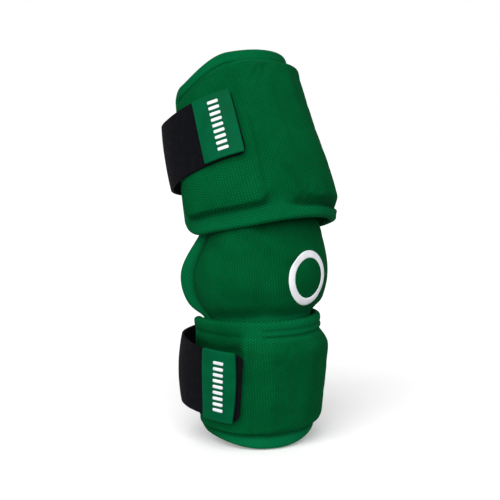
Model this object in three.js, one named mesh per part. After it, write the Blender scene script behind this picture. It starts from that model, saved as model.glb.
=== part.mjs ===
// Elbow guard for sport: a padded cuff for the upper arm, a domed cup for the elbow's point and a padded
// cuff for the forearm, held round the arm by two elastic straps with pull tabs.
// Millimetres. The forearm runs down along Z, the crown of the cup faces -Y, and the straps close at +Y.
// The origin is the middle of the arm at the elbow.
import * as THREE from "three";

// Driving sizes shared by the pieces
const gap = 0.5; // between neighbouring pieces
const wrapAngle = 110; // half the arc that a cuff covers, in degrees from the front
const channelHalf = 1.6; // half the flat of the channel that parts two panels
const sideFlange = 7; // hemmed border at a cuff's two free edges
const flangeThickness = 5.5;
const grooveThickness = 4; // wall between flange and panel
const panelThickness = 10.5;
const shoulderWidth = 7; // over which a panel rises from its groove
const panelCorner = 9; // rounding where two shoulders of a panel meet
const rimRadius = 3; // rolled edge of the cloth
const rimThickness = 1.6; // wall left at the very edge

const strapThickness = 1.8;
const tabThickness = 2.6;

// The two cuffs. Sections give the inside radius along the cuff's own axis. An edge is hemmed by a flange,
// drops in towards its free ends between two angles counted from its middle, and is rounded at its corners.
const upperPad = {
  height: 125,
  lean: 19,
  bottom: [0, -6, 19.5],
  channelAngles: [-25, 68], // the two channels between its panels
  topEdge: { flange: 9.5, drop: 12, middle: 6, from: 40, to: 100, corner: 14 },
  bottomEdge: { flange: 13, drop: 3, middle: 0, from: 38, to: 100, corner: 20 },
  sections: [
    { along: 0, radius: 50 },
    { along: 14, radius: 48.5 },
    { along: 40, radius: 46.5 },
    { along: 80, radius: 41.5 },
    { along: 110, radius: 37.5 },
    { along: 125, radius: 35 },
  ],
};
const forearmPad = {
  height: 91.6,
  lean: 0,
  bottom: [0, 0, -126.4],
  channelAngles: [-37, 68],
  topEdge: { flange: 11.5, drop: 1, middle: 0, from: 38, to: 100, corner: 6 },
  bottomEdge: { flange: 9.5, drop: 8.5, middle: -20, from: 6, to: 94, corner: 10 },
  sections: [
    { along: 0, radius: 36.5 },
    { along: 20, radius: 37.5 },
    { along: 65, radius: 41.8 },
    { along: 91.6, radius: 41 },
  ],
};

// The cup. Sections give its inside radius, and wrap the half arc that it covers.
const cup = {
  lean: 5,
  centre: [0, 3, -7],
  endFlange: 10,
  sideFlange: 13,
  flangeThickness: 4,
  domeRise: 5.1,
  shoulderWidth: 9,
  domeShare: 0.6, // share of the arc that lies well inside the dome
  lip: 7.2, // outward flare of the two free edges
  lipMiddle: -8,
  lipBelow: 20.5, // reach of the flare down and up from its middle
  lipAbove: 36,
  sections: [
    { along: -40, radius: 34.3, wrap: 75 },
    { along: -34, radius: 34.8, wrap: 97 },
    { along: -28, radius: 36.2, wrap: 107 },
    { along: -20, radius: 39.6, wrap: 114 },
    { along: -8, radius: 43.2, wrap: 115 },
    { along: 5, radius: 43.9, wrap: 112 },
    { along: 24, radius: 41.1, wrap: 97 },
    { along: 40, radius: 38.6, wrap: 84 },
    { along: 52, radius: 37.5, wrap: 74 },
  ],
};

// The straps. The angle runs from the tab on the near side over the free edge and round the back to the
// sewn end inside the far edge. Lift is measured out from the cuff's inside, rise up from the strap's level,
// and crown is how far the band's two edges pull in. Slack is 1 where the strap stands off as a plain
// cylinder and 0 where it lies along the cuff's taper.
const upperStrap = {
  along: 65.6,
  width: 47.5,
  tabWidth: 46,
  tabEnds: [-37, -64.6],
  route: [
    { angle: -36, lift: 14.6, rise: 5.3, crown: 0, slack: 0 },
    { angle: -52, lift: 12.2, rise: 4.2, crown: 0, slack: 0 },
    { angle: -70, lift: 12, rise: 2.4, crown: 0, slack: 0.1 },
    { angle: -96, lift: 12.9, rise: 0, crown: 1.2, slack: 0.35 },
    { angle: -125, lift: 11.4, rise: -2, crown: 2, slack: 1 },
    { angle: -150, lift: 8, rise: -1.6, crown: 2, slack: 1 },
    { angle: -180, lift: 5, rise: 0, crown: 2, slack: 1 },
    { angle: -222, lift: 2, rise: 1, crown: 1, slack: 0.5 },
    { angle: -246, lift: -2.8, rise: 1, crown: 0, slack: 0 },
    { angle: -258, lift: -3, rise: 1, crown: 0, slack: 0 },
    { angle: -275, lift: -3, rise: 1, crown: 0, slack: 0 },
  ],
};
const forearmStrap = {
  along: 50.6,
  width: 48.5,
  tabWidth: 50.5,
  tabEnds: [-49.5, -76],
  route: [
    { angle: -46.5, lift: 16.6, rise: -4.4, crown: 0, slack: 0 },
    { angle: -64, lift: 12.8, rise: -3.1, crown: 0, slack: 0 },
    { angle: -80, lift: 12, rise: -1.9, crown: 0, slack: 0.1 },
    { angle: -100, lift: 13.2, rise: -0.4, crown: 1.2, slack: 0.7 },
    { angle: -125, lift: 13.8, rise: 0.8, crown: 2.2, slack: 1 },
    { angle: -150, lift: 11, rise: 1.4, crown: 2.2, slack: 1 },
    { angle: -180, lift: 7, rise: 2.4, crown: 2, slack: 1 },
    { angle: -222, lift: 2, rise: 1, crown: 1, slack: 0.5 },
    { angle: -246, lift: -2.8, rise: 0, crown: 0, slack: 0 },
    { angle: -258, lift: -3, rise: 0, crown: 0, slack: 0 },
    { angle: -275, lift: -3, rise: 0, crown: 0, slack: 0 },
  ],
};

// Colour and finish of the mesh cloth, the elastic and the tabs
const meshCloth = { color: 0x05592f, roughness: 0.9, metalness: 0 };
const elastic = { color: 0x15161b, roughness: 0.85, metalness: 0 };
const tabRubber = { color: 0x04673f, roughness: 0.6, metalness: 0 };

// Facets of each stretch of a piece
const cuffColumns = { frontPanel: 6, channel: 8, sidePanel: 4, farPanel: 1, sideEdge: 4, rim: 2 };
const cuffRows = { rim: 2, flange: 3, shoulder: 3, panel: 5 };
const cupColumns = { edge: 8, dome: 14 };
const cupRows = { lower: 7, middle: 7, upper: 6 };
const bandSteps = { strap: 48, tab: 8, across: 4 };

const radians = THREE.MathUtils.degToRad;
const clamp = THREE.MathUtils.clamp;

// Reads a column of a table at a place in its key column, on a smooth curve through the rows.
function read(table, key, at, column) {
  const sign = Math.sign(table[table.length - 1][key] - table[0][key]);
  let row = 0;
  while (row < table.length - 2 && sign * (at - table[row + 1][key]) > 0) row++;
  const slope = (k) => {
    const before = table[Math.max(k - 1, 0)];
    const after = table[Math.min(k + 1, table.length - 1)];
    return (after[column] - before[column]) / (after[key] - before[key]);
  };
  const [low, high] = [table[row], table[row + 1]];
  const span = high[key] - low[key];
  const t = clamp((at - low[key]) / span, 0, 1);
  const rise = t * t * (3 - 2 * t);
  return (
    low[column] * (1 - rise) +
    high[column] * rise +
    span * (slope(row) * t * (1 - t) ** 2 - slope(row + 1) * t * t * (1 - t))
  );
}

// Evenly spaced stations from one place to another, without the last.
const spread = (from, to, steps) =>
  Array.from({ length: steps }, (_, k) => from + ((to - from) * k) / steps);

// The smaller of two distances, with the crease between them rounded.
function roundedMin(a, b, radius) {
  const close = Math.max(radius - Math.abs(a - b), 0);
  return Math.min(a, b) - (close * close) / (4 * radius);
}

// A quarter-round rise from 0 to 1 over a width.
function quarterRound(distance, width) {
  const t = clamp(distance / width, 0, 1);
  return Math.sqrt(t * (2 - t));
}

// A rise from 0 to 1 over a width, steepest where it starts.
const shoulder = (distance, width) => Math.sin((Math.PI / 2) * clamp(distance / width, 0, 1));

// A soft rise from 0 to 1 over a width.
const softRise = (distance, width) => THREE.MathUtils.smoothstep(distance, 0, width);

// A closed wall between an outer and an inner sheet, each a grid of points over the stations, joined
// along the four rims.
function wall(across, along, outer, inner) {
  const [columns, rows] = [across.length, along.length];
  const positions = [outer, inner].flatMap((sheet) =>
    across.flatMap((u) => along.flatMap((v) => sheet(u, v).toArray())),
  );
  const corner = (sheet, i, j) => (sheet * columns + i) * rows + j;
  const index = [];
  const quad = (a, b, c, d) => index.push(a, b, c, a, c, d);
  for (let i = 0; i < columns - 1; i++) {
    for (let j = 0; j < rows - 1; j++) {
      quad(corner(0, i, j), corner(0, i + 1, j), corner(0, i + 1, j + 1), corner(0, i, j + 1));
      quad(corner(1, i, j), corner(1, i, j + 1), corner(1, i + 1, j + 1), corner(1, i + 1, j));
    }
    const top = rows - 1;
    quad(corner(0, i, 0), corner(1, i, 0), corner(1, i + 1, 0), corner(0, i + 1, 0));
    quad(corner(0, i, top), corner(0, i + 1, top), corner(1, i + 1, top), corner(1, i, top));
  }
  for (let j = 0; j < rows - 1; j++) {
    const last = columns - 1;
    quad(corner(0, 0, j), corner(0, 0, j + 1), corner(1, 0, j + 1), corner(1, 0, j));
    quad(corner(0, last, j), corner(1, last, j), corner(1, last, j + 1), corner(0, last, j + 1));
  }
  const geometry = new THREE.BufferGeometry();
  geometry.setAttribute("position", new THREE.Float32BufferAttribute(positions, 3));
  geometry.setIndex(index);
  geometry.computeVertexNormals();
  return geometry;
}

// A point at an angle from the front and a height on a form's axis, lifted out from its inside.
function pointOn(form, angle, height, lift) {
  const turn = radians(angle);
  const radius = read(form.sections, "along", height, "radius") + lift;
  return new THREE.Vector3(radius * Math.sin(turn), -radius * Math.cos(turn), height);
}

// How far an edge of a cuff has dropped at an angle from the front: a slow slope, then a round corner.
function edgeDrop(edge, angle, side) {
  const corner = clamp(1 - side / edge.corner, 0, 1);
  const slope = softRise(Math.abs(angle - edge.middle) - edge.from, edge.to - edge.from);
  return edge.drop * slope + edge.corner * (1 - Math.sqrt(1 - corner * corner));
}

// Wall thickness of a cuff: rolled rim, puffed flange, groove, and panels that rise between channels.
function cuffThickness(pad, { angle, side, below, above, radius }) {
  const apart = Math.min(...pad.channelAngles.map((at) => Math.abs(angle - at)));
  const channel = radians(apart) * radius - channelHalf;
  const rim = quarterRound(Math.min(below, above, side), rimRadius);
  const [low, high] = [pad.bottomEdge.flange, pad.topEdge.flange];
  const across = Math.min(below / low, above / high, side / sideFlange);
  const puff = Math.sin(Math.PI * clamp(across, 0, 1));
  const flange = grooveThickness + (flangeThickness - grooveThickness) * puff;
  const ends = Math.min(below - low, above - high);
  const sides = roundedMin(side - sideFlange, channel, panelCorner);
  const inside = roundedMin(ends, sides, panelCorner);
  const panel = (panelThickness - grooveThickness) * shoulder(inside, shoulderWidth);
  return rimThickness + (flange + panel - rimThickness) * rim;
}

// A cuff's wall over its stations: columns round the arm, rows up it.
function cuffWall(pad) {
  const radius = read(pad.sections, "along", pad.height / 2, "radius");
  const degrees = (mm) => THREE.MathUtils.radToDeg(mm / radius);
  const [near, far] = pad.channelAngles;
  const channelSpan = degrees(channelHalf + shoulderWidth);
  const edgeFrom = wrapAngle - degrees(sideFlange + shoulderWidth);
  const rimFrom = wrapAngle - degrees(rimRadius);
  const across = [
    ...spread(-wrapAngle, -rimFrom, cuffColumns.rim),
    ...spread(-rimFrom, -edgeFrom, cuffColumns.sideEdge),
    ...spread(-edgeFrom, near - channelSpan, cuffColumns.sidePanel),
    ...spread(near - channelSpan, near + channelSpan, cuffColumns.channel),
    ...spread(near + channelSpan, far - channelSpan, cuffColumns.frontPanel),
    ...spread(far - channelSpan, far + channelSpan, cuffColumns.channel),
    ...spread(far + channelSpan, edgeFrom, cuffColumns.farPanel),
    ...spread(edgeFrom, rimFrom, cuffColumns.sideEdge),
    ...spread(rimFrom, wrapAngle, cuffColumns.rim),
    wrapAngle,
  ];
  const edgeRows = (flange) => [
    ...spread(0, rimRadius, cuffRows.rim),
    ...spread(rimRadius, flange, cuffRows.flange),
    ...spread(flange, flange + shoulderWidth, cuffRows.shoulder),
    flange + shoulderWidth,
  ];
  const [low, high] = [edgeRows(pad.bottomEdge.flange), edgeRows(pad.topEdge.flange)];
  const along = [
    ...low.map((distance) => ({ distance })),
    ...spread(0, 1, cuffRows.panel).slice(1).map((share) => ({ share })),
    ...high.map((distance) => ({ distance, fromTop: true })).reverse(),
  ];
  const place = (angle, row) => {
    const side = radians(wrapAngle - Math.abs(angle)) * radius;
    const bottom = edgeDrop(pad.bottomEdge, angle, side);
    const top = pad.height - edgeDrop(pad.topEdge, angle, side);
    const first = bottom + low[low.length - 1];
    const last = top - high[high.length - 1];
    const fromEdge = row.fromTop ? top - row.distance : bottom + row.distance;
    const height = "share" in row ? first + (last - first) * row.share : fromEdge;
    return { angle, side, radius, height, below: height - bottom, above: top - height };
  };
  const inner = (angle, row) => pointOn(pad, angle, place(angle, row).height, 0);
  const outer = (angle, row) => {
    const spot = place(angle, row);
    return pointOn(pad, angle, spot.height, cuffThickness(pad, spot));
  };
  return wall(across, along, outer, inner);
}

// The cup's wall: a flange all round, flared at its free edges, and a dome that rises inside it.
function cupWall() {
  const [first, last] = [cup.sections[0].along, cup.sections[cup.sections.length - 1].along];
  const radius = read(cup.sections, "along", 0, "radius");
  const columns = [
    ...spread(-1, -cup.domeShare, cupColumns.edge),
    ...spread(-cup.domeShare, cup.domeShare, cupColumns.dome),
    ...spread(cup.domeShare, 1, cupColumns.edge),
    1,
  ];
  const domeSpan = cup.endFlange + cup.shoulderWidth;
  const rows = [
    ...spread(first, first + domeSpan, cupRows.lower),
    ...spread(first + domeSpan, last - domeSpan, cupRows.middle),
    ...spread(last - domeSpan, last, cupRows.upper),
    last,
  ];
  const place = (share, height) => {
    const wrap = read(cup.sections, "along", height, "wrap");
    const side = radians(wrap * (1 - Math.abs(share))) * radius;
    const reach = height < cup.lipMiddle ? cup.lipBelow : cup.lipAbove;
    const bell = Math.max(1 - ((height - cup.lipMiddle) / reach) ** 2, 0);
    const lip = cup.lip * bell * (1 - softRise(side, cup.sideFlange));
    return { angle: wrap * share, side, ends: Math.min(height - first, last - height), lip };
  };
  const inner = (share, height) => {
    const { angle, lip } = place(share, height);
    return pointOn(cup, angle, height, lip);
  };
  const outer = (share, height) => {
    const { angle, side, ends, lip } = place(share, height);
    const rim = quarterRound(Math.min(ends, side), rimRadius);
    const inside = roundedMin(side - cup.sideFlange, ends - cup.endFlange, panelCorner);
    const dome = cup.domeRise * softRise(inside, cup.shoulderWidth);
    const swell = (cup.flangeThickness + dome - rimThickness) * rim;
    return pointOn(cup, angle, height, lip + rimThickness + swell);
  };
  return wall(columns, rows, outer, inner);
}

// A point of a strap: an angle on its route and a place across its width, lifted further by an amount.
function strapPoint(pad, strap, angle, across, extra) {
  const at = (column, where = angle) => read(strap.route, "angle", where, column);
  const level = read(pad.sections, "along", strap.along, "radius");
  const edge = (2 * across) / strap.width;
  const lift = at("lift") - at("crown") * edge * edge + extra;
  const slope = (at("rise", angle + 1) - at("rise", angle - 1)) / (radians(2) * (level + lift));
  const square = across / Math.hypot(1, slope);
  const height = strap.along + at("rise") + square;
  const turned = angle - THREE.MathUtils.radToDeg((square * slope) / (level + lift));
  const taper = level - read(pad.sections, "along", height, "radius");
  return pointOn(pad, turned, height, lift + at("slack") * taper);
}

// A band of a strap's route between two angles, from one lift to another, as a closed wall.
function bandWall(pad, strap, [from, to], width, [under, over], steps) {
  const columns = [...spread(to, from, steps), from];
  const rows = [...spread(-width / 2, width / 2, bandSteps.across), width / 2];
  const outer = (angle, across) => strapPoint(pad, strap, angle, across, over);
  const inner = (angle, across) => strapPoint(pad, strap, angle, across, under);
  return wall(columns, rows, outer, inner);
}

function strapWall(pad, strap) {
  const ends = [strap.route[0].angle, strap.route[strap.route.length - 1].angle];
  return bandWall(pad, strap, ends, strap.width, [0, strapThickness], bandSteps.strap);
}

function tabWall(pad, strap) {
  const under = strapThickness + gap;
  const lifts = [under, under + tabThickness];
  return bandWall(pad, strap, strap.tabEnds, strap.tabWidth, lifts, bandSteps.tab);
}

function piece(name, geometry, finish) {
  const mesh = new THREE.Mesh(geometry, new THREE.MeshStandardMaterial(finish));
  mesh.name = name;
  return mesh;
}

// A cuff with its strap and tab, set on the arm at its own lean.
function cuff(name, pad, strap) {
  const group = new THREE.Group();
  group.position.fromArray(pad.bottom);
  group.rotation.x = -radians(pad.lean);
  group.add(piece(`${name}_pad`, cuffWall(pad), meshCloth));
  group.add(piece(`${name}_strap`, strapWall(pad, strap), elastic));
  group.add(piece(`${name}_tab`, tabWall(pad, strap), tabRubber));
  return group;
}

const elbowCup = piece("elbow_cup", cupWall(), meshCloth);
elbowCup.position.fromArray(cup.centre);
elbowCup.rotation.x = -radians(cup.lean);

const guard = new THREE.Group();
guard.add(cuff("upper", upperPad, upperStrap));
guard.add(elbowCup);
guard.add(cuff("forearm", forearmPad, forearmStrap));

export default guard;
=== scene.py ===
# Elbow guard for sport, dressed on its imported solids: two foam cuffs and a cup in knitted mesh, elastic
# straps and rubber pull tabs. Metres and degrees, in the solids' frame: +Z up the arm, the cup's crown
# at -Y, the tabs at -X. Angles round the arm count from the front, -Y, towards +X.
import math

import bmesh
import bpy
import numpy as np
from mathutils import Color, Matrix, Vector
from mathutils.bvhtree import BVHTree


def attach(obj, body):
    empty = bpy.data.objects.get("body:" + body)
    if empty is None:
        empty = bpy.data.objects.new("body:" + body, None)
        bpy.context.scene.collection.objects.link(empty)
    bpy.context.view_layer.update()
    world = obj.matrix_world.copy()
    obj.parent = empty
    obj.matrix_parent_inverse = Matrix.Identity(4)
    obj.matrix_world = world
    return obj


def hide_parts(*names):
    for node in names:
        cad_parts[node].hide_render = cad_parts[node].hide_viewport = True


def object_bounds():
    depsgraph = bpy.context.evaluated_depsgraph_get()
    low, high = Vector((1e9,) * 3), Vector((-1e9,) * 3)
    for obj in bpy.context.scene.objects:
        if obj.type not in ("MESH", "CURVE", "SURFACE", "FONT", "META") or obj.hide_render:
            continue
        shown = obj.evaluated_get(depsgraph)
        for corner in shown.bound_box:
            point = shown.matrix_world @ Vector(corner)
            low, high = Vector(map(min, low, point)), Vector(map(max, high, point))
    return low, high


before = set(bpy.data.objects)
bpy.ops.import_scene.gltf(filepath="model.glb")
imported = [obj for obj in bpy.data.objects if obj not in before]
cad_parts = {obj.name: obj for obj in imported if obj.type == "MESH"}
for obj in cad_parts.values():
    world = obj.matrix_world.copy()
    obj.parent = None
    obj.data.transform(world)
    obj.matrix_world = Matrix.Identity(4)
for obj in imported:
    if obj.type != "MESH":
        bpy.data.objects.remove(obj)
cad_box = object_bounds()


# Upper-arm cuff: foam moulded into three raised panels with channels between them, laminated in green
# knitted mesh. The cloth is pressed flat into a hem along every edge and rolled over there.
# It leans back on the arm.
upper_cuff = {
    "lean": 19,
    "base": (0, -0.006, 0.0195),  # middle of its lower end
    "height": 0.125,
    "channels": (-25, 68),
    "channel_bend": (6, 0.066, 0.03),  # the near channel's turn, from what height, over what stretch
    "channel_slopes": (0.004, 0.0095),  # a channel's slope to an outer panel and to the front one
    "channel_share": (0.45, 0.45, 0.42, 0.4, 0.25, 0.1),  # depth at each section
    "flat": (5, 15),  # middle of the flatter front, and half its arc
    "tuck": 0.005,  # how far the near lower edge is drawn in
    "bridge": 0.003,  # foam left in the lower groove round the far side
    # Of an edge: "narrow" and "slim" thin its hem at the ends and from the front on. "pale" marks the
    # pressed cloth, paler and partly a painted highlight, which gives way to painted shade towards the ends
    # by
    # "pale_to". "line" is a row of sewing, sunk and painted with shade. "crease" sets how deep the groove
    # is creased and its painted shade. Foam fills the groove beside the near channel by "fill", as a share,
    # place and half width, and on the near panel and in front by "blend". "scoop" deepens it in front and
    # paints it darker. "shoulders" are the rise of those two panels from it. The edge comes in by "fall"
    # between two angles from its middle, and is rounded at its corners.
    "top": {
        "hem": 0.0095, "narrow": 0, "slim": 0,
        "pale": 0.45, "pale_to": 200, "line": 0, "crease": 0.35,
        "fill": (0, 0, 1), "blend": (0, 0.75), "scoop": 0, "shoulders": (0.006, 0.0034),
        "fall": 0.012, "middle": 6, "from": 40, "to": 100, "corner": 0.014,
    },
    "bottom": {
        "hem": 0.0118, "narrow": 0, "slim": 0.003,
        "pale": 0.3, "pale_to": 200, "line": 0, "crease": 0.32,
        "fill": (1, 0.0055, 0.0075), "blend": (0, 0), "scoop": 1, "shoulders": (0.0022, 0.0062),
        "fall": 0.003, "middle": 0, "from": 38, "to": 100, "corner": 0.021,
    },
    "along": (0, 0.014, 0.04, 0.08, 0.11, 0.125),
    "radius": (0.05, 0.0485, 0.0465, 0.0415, 0.0382, 0.0364),
}
side_edge = {
    "hem": 0.007, "pale": 0.5, "line": 0, "crease": 0.4,
    "fill": (0, 0, 1), "blend": (0, 0), "shoulder": 0.006,
}
wrap = 110  # half the arc that a cuff covers
hem_lift = 0.0054
groove_lift = 0.004
panel_lift = 0.0105
bevel_corner = 0.4  # rounding of a panel's top edge, as a share of its shoulder
panel_corner = 1.5  # the same where two shoulders meet
channel_corner = 1.2
front_from, front_over = -0.004, 0.012  # from the near panel to the front one, across the channel
slim_from, slim_over = -20, 26
hem_groove = 0.0022
fill_reach = 0.014
filled_shoulder = 2  # how much longer a shoulder is where its groove is filled
line_at, line_half = 0.56, 0.09  # shares of a hem's width
scoop_from, scoop_over = -14, 16
# How far the scoop's painted shade reaches up the panel, and how much darker it paints the groove.
scoop_reach, scoop_painted_shade = 0.003, 0.55
bridge_from, bridge_over, bridge_half = 40, 12, 0.004
tuck_at, tuck_half, tuck_reach = -40, 38, 0.022
rim_roll = 0.003
rim_wall = 0.0016
rim_middle = 0.0014
crease_depth, crease_half = 0.0006, 0.0013
pale_reach, pale_fade = 0.6, 45
fine_from, fine_to = -60, 30  # angles between which the columns stand closest
near_steps, fine_steps, far_steps = 24, 68, 36
rim_steps, hem_steps, row_pitch = 4, 16, 0.0034
foam_pressure, foam_bending, foam_frames = 4, 2, 20
foam_swell = 0.0012  # the most that a point moves
cuff_slack = 0.01
knit_pitch = 0.0015
knit_slant = 33
knit_turns = (knit_slant + 90, knit_slant + 30, knit_slant - 30)
knit_drift = 0.0016
row_height, loop_height, pressed_loss, mean_height = 0.15, 0.13, 0.08, 0.5  # of the knit, as shares
uneven_least, uneven_span = 0.4, 1.2
tiny = 1e-9  # stands in for a length of nothing in a division


def through(places, values, at):
    """A smooth curve through a table's places and values, read at one place or many."""
    places, values = np.asarray(places, float), np.asarray(values, float)
    last = len(places) - 1
    before = np.maximum(np.arange(last + 1) - 1, 0)
    after = np.minimum(np.arange(last + 1) + 1, last)
    slopes = (values[after] - values[before]) / (places[after] - places[before])
    k = np.clip(np.searchsorted(places, at) - 1, 0, last - 1)
    span = places[k + 1] - places[k]
    t = np.clip((at - places[k]) / span, 0, 1)
    ease = t * t * (3 - 2 * t)
    bend = span * (slopes[k] * t * (1 - t) ** 2 - slopes[k + 1] * t * t * (1 - t))
    return values[k] * (1 - ease) + values[k + 1] * ease + bend


def soft_rise(distance, width):
    t = np.clip(distance / width, 0, 1)
    return t * t * (3 - 2 * t)


def round_rise(distance, width):
    t = np.clip(distance / width, 0, 1)
    return np.sqrt(t * (2 - t))


def bevel_rise(distance):
    """A straight bevel from 0 to 1 with its top edge eased."""
    return rounded_min(np.maximum(distance, 0), 1, bevel_corner)


def rounded_min(a, b, radius):
    close = np.maximum(radius - np.abs(a - b), 0)
    return np.minimum(a, b) - close * close / (4 * radius)


def on_form(form, angle, along, lift):
    """Points at an angle from the front and a place on a form's axis, lifted off its inside."""
    radius = through(form["along"], form["radius"], along) + lift
    x, y = radius * np.sin(np.radians(angle)), -radius * np.cos(np.radians(angle))
    cos, sin = math.cos(math.radians(form["lean"])), math.sin(math.radians(form["lean"]))
    return np.stack([x, y * cos + along * sin, along * cos - y * sin], -1) + form["base"]


def stations(*stretches):
    """Places along a line: stretches of (from, to, steps), joined end to end."""
    runs = [np.linspace(a, b, steps, endpoint=False) for a, b, steps in stretches]
    return np.concatenate([*runs, [stretches[-1][1]]])


def new_piece(name, points, edges, faces):
    mesh = bpy.data.meshes.new(name)
    mesh.from_pydata(points, edges, faces)
    mesh.shade_smooth()
    piece = bpy.data.objects.new(name, mesh)
    bpy.context.scene.collection.objects.link(piece)
    return piece


def lay_cloth(mesh, places, marks):
    """Gives each point its place on the uncut cloth, in metres, and the marks that the moulding left."""
    corners = np.zeros(len(mesh.loops), int)
    mesh.loops.foreach_get("vertex_index", corners)
    mesh.uv_layers.new(name="cloth").data.foreach_set("uv", places[corners].ravel())
    for label, values in marks.items():
        mesh.attributes.new(label, "FLOAT", "POINT").data.foreach_set("value", values)


def wall(name, outer, inner, cloth, marks):
    """A closed piece of two sheets of grid points joined round their rims."""
    columns, rows = outer.shape[:2]
    out = np.arange(columns * rows).reshape(columns, rows)
    into = out + columns * rows
    quads = [
        (out[:-1, :-1], out[1:, :-1], out[1:, 1:], out[:-1, 1:]),
        (into[:-1, :-1], into[:-1, 1:], into[1:, 1:], into[1:, :-1]),
        (out[:-1, 0], into[:-1, 0], into[1:, 0], out[1:, 0]),
        (out[:-1, -1], out[1:, -1], into[1:, -1], into[:-1, -1]),
        (out[0, :-1], out[0, 1:], into[0, 1:], into[0, :-1]),
        (out[-1, :-1], into[-1, :-1], into[-1, 1:], out[-1, 1:]),
    ]
    faces = np.concatenate([np.stack(q, -1).reshape(-1, 4) for q in quads])
    piece = new_piece(name, np.concatenate([outer.reshape(-1, 3), inner.reshape(-1, 3)]), [], faces)
    both_marks = {label: np.tile(values.ravel(), 2) for label, values in marks.items()}
    lay_cloth(piece.data, np.tile(cloth.reshape(-1, 2), (2, 1)), both_marks)
    return piece


def points_of(mesh):
    flat = np.zeros(len(mesh.vertices) * 3)
    mesh.vertices.foreach_get("co", flat)
    return flat.reshape(-1, 3)


def puff(piece, held, slack):
    """Swells a piece's free cloth in a cloth simulation, held along its seams, and keeps the result."""
    rest = points_of(piece.data)
    seams = piece.vertex_groups.new(name="held")
    for index, weight in enumerate(np.concatenate([held.ravel(), np.ones(held.size)])):
        seams.add([index], float(weight), "REPLACE")
    cloth = piece.modifiers.new("puff", "CLOTH")
    cloth.settings.vertex_group_mass = "held"
    cloth.settings.use_pressure = True
    cloth.settings.uniform_pressure_force = foam_pressure
    cloth.settings.shrink_min = -slack
    cloth.settings.bending_stiffness = foam_bending
    cloth.settings.effector_weights.gravity = 0
    cloth.point_cache.frame_start, cloth.point_cache.frame_end = 1, foam_frames
    for step in range(1, foam_frames + 1):
        bpy.context.scene.frame_set(step)
    swollen = points_of(piece.evaluated_get(bpy.context.evaluated_depsgraph_get()).data)
    piece.modifiers.remove(cloth)
    bpy.context.scene.frame_set(1)
    moved = swollen - rest
    length = np.linalg.norm(moved, axis=1, keepdims=True)
    moved *= np.minimum(1, foam_swell / np.maximum(length, tiny))
    piece.data.vertices.foreach_set("co", (rest + moved).ravel())
    piece.vertex_groups.remove(seams)


def smooth(piece):
    finer = piece.modifiers.new("finer", "SUBSURF")
    finer.levels = finer.render_levels = 1


class Wire:
    """A socket of a material's tree. Sums of wires and numbers add the Math nodes that they need."""

    mix_factor, mix_low, mix_high, mix_out = 0, 6, 7, 2  # a Mix node's sockets for colours

    def __init__(self, tree, socket=None):
        self.tree, self.socket = tree, socket

    def node(self, kind, settings, sockets, out=0):
        made = self.tree.nodes.new(kind)
        for name, value in settings.items():
            setattr(made, name, value)
        for name, value in sockets.items():
            if isinstance(value, Wire):
                self.tree.links.new(value.socket, made.inputs[name])
            else:
                made.inputs[name].default_value = value
        return Wire(self.tree, made.outputs[out])

    def other(self, out):
        return Wire(self.tree, self.socket.node.outputs[out])

    def feed(self, socket):
        self.tree.links.new(self.socket, socket)

    def math(self, operation, *others):
        return self.node("ShaderNodeMath", {"operation": operation}, dict(enumerate((self, *others))))

    def wave(self, length):
        return (self * (2 * math.pi / length)).math("COSINE")

    def ramp(self, low, high):
        """From 0 at one value to 1 at another, and no further."""
        sockets = {"Value": self, "From Min": low, "From Max": high}
        return self.node("ShaderNodeMapRange", {"interpolation_type": "SMOOTHSTEP"}, sockets)

    def mix(self, low, high):
        """Between two colours, by this wire from 0 to 1."""
        sockets = {self.mix_factor: self, self.mix_low: low, self.mix_high: high}
        return self.node("ShaderNodeMix", {"data_type": "RGBA"}, sockets, self.mix_out)

    def __add__(self, other):
        return self.math("ADD", other)

    def __sub__(self, other):
        return self.math("SUBTRACT", other)

    def __rsub__(self, other):
        return self.math("MULTIPLY", -1) + other

    def __mul__(self, other):
        return self.math("MULTIPLY", other)

    __radd__ = __add__
    __rmul__ = __mul__


def finish(name, fixed):
    """A new material with the values that are the same all over, a first wire, and its shader's sockets."""
    material = bpy.data.materials.new(name)
    material.use_nodes = True
    shader = material.node_tree.nodes["Principled BSDF"].inputs
    for socket, value in fixed.items():
        shader[socket].default_value = value
    return material, Wire(material.node_tree), shader


def colour(red, green, blue):
    """A colour as a screen shows it, 0 to 255, as light."""
    light = (Color((red, green, blue)) / 255).from_srgb_to_scene_linear()
    return (*light, 1)


def cloud(wire, scale, detail):
    """Soft random patches over the solid, from 0 to 1."""
    solid = wire.node("ShaderNodeTexCoord", {}, {}, "Object")
    return wire.node("ShaderNodeTexNoise", {}, {"Vector": solid, "Scale": scale, "Detail": detail})


def mark(wire, label):
    return wire.node("ShaderNodeAttribute", {"attribute_name": label}, {}, "Fac")


def knit_loops(wire):
    """Height of warp-knit mesh from 0 to 1: loops in slanted rows, uneven, and only rows where pressed."""
    place = wire.node("ShaderNodeUVMap", {"uv_map": "cloth"}, {})
    u = wire.node("ShaderNodeSeparateXYZ", {}, {"Vector": place})
    v = u.other("Y") + cloud(wire, scale=90, detail=2) * knit_drift
    waves = []
    for turn in knit_turns:
        cos, sin = math.cos(math.radians(turn)), math.sin(math.radians(turn))
        waves.append((u * cos + v * sin).wave(knit_pitch))
    rows, left, right = waves
    uneven = cloud(wire, scale=240, detail=2) * uneven_span + uneven_least
    loops = (left + right) * (loop_height - mark(wire, "hem") * pressed_loss)
    return (rows * row_height + loops) * uneven + mean_height


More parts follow.
